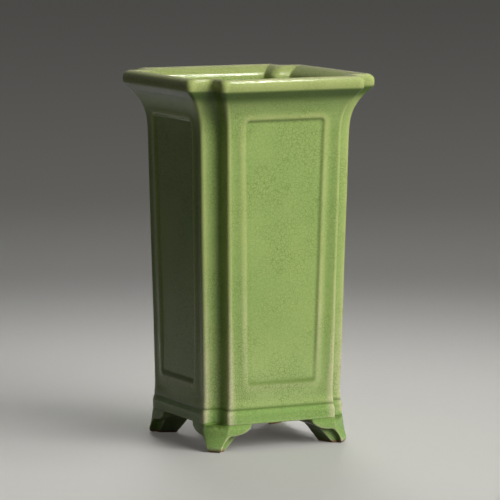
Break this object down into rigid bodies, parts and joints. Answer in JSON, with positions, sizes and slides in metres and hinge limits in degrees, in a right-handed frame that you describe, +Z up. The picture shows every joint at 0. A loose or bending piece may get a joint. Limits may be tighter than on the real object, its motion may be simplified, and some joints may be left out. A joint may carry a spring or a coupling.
{
  "type": "square flower pot",
  "caption": "Tall square flower pot with indented corners, sunk side panels, a flared rolled lip and bracket feet.",
  "frame": {"origin": "on the ground under the middle of the pot, level with the soles of the feet", "axes": "+Z up through the mouth; +X and +Y square to the sides; the front side faces -Y"},
  "size_m": [0.1684, 0.1684, 0.3],
  "materials": {
    "celadon_glaze": "glossy crackled glaze",
    "bare_clay": "unglazed, matt"
  },
  "bodies": {
    "root": {"floor_slab": "bare_clay", "base_band_front": "celadon_glaze", "base_band_right": "celadon_glaze", "base_band_back": "celadon_glaze", "base_band_left": "celadon_glaze", "wall_front": "celadon_glaze", "wall_right": "celadon_glaze", "wall_back": "celadon_glaze", "wall_left": "celadon_glaze", "lip_front": "celadon_glaze", "lip_right": "celadon_glaze", "lip_back": "celadon_glaze", "lip_left": "celadon_glaze", "corner_front_left": "celadon_glaze", "corner_front_right": "celadon_glaze", "corner_back_right": "celadon_glaze", "corner_back_left": "celadon_glaze", "lip_corner_front_left": "celadon_glaze", "lip_corner_front_right": "celadon_glaze", "lip_corner_back_right": "celadon_glaze", "lip_corner_back_left": "celadon_glaze", "foot_front_left": "celadon_glaze", "foot_front_right": "celadon_glaze", "foot_back_right": "celadon_glaze", "foot_back_left": "celadon_glaze"}
  },
  "joints": []
}
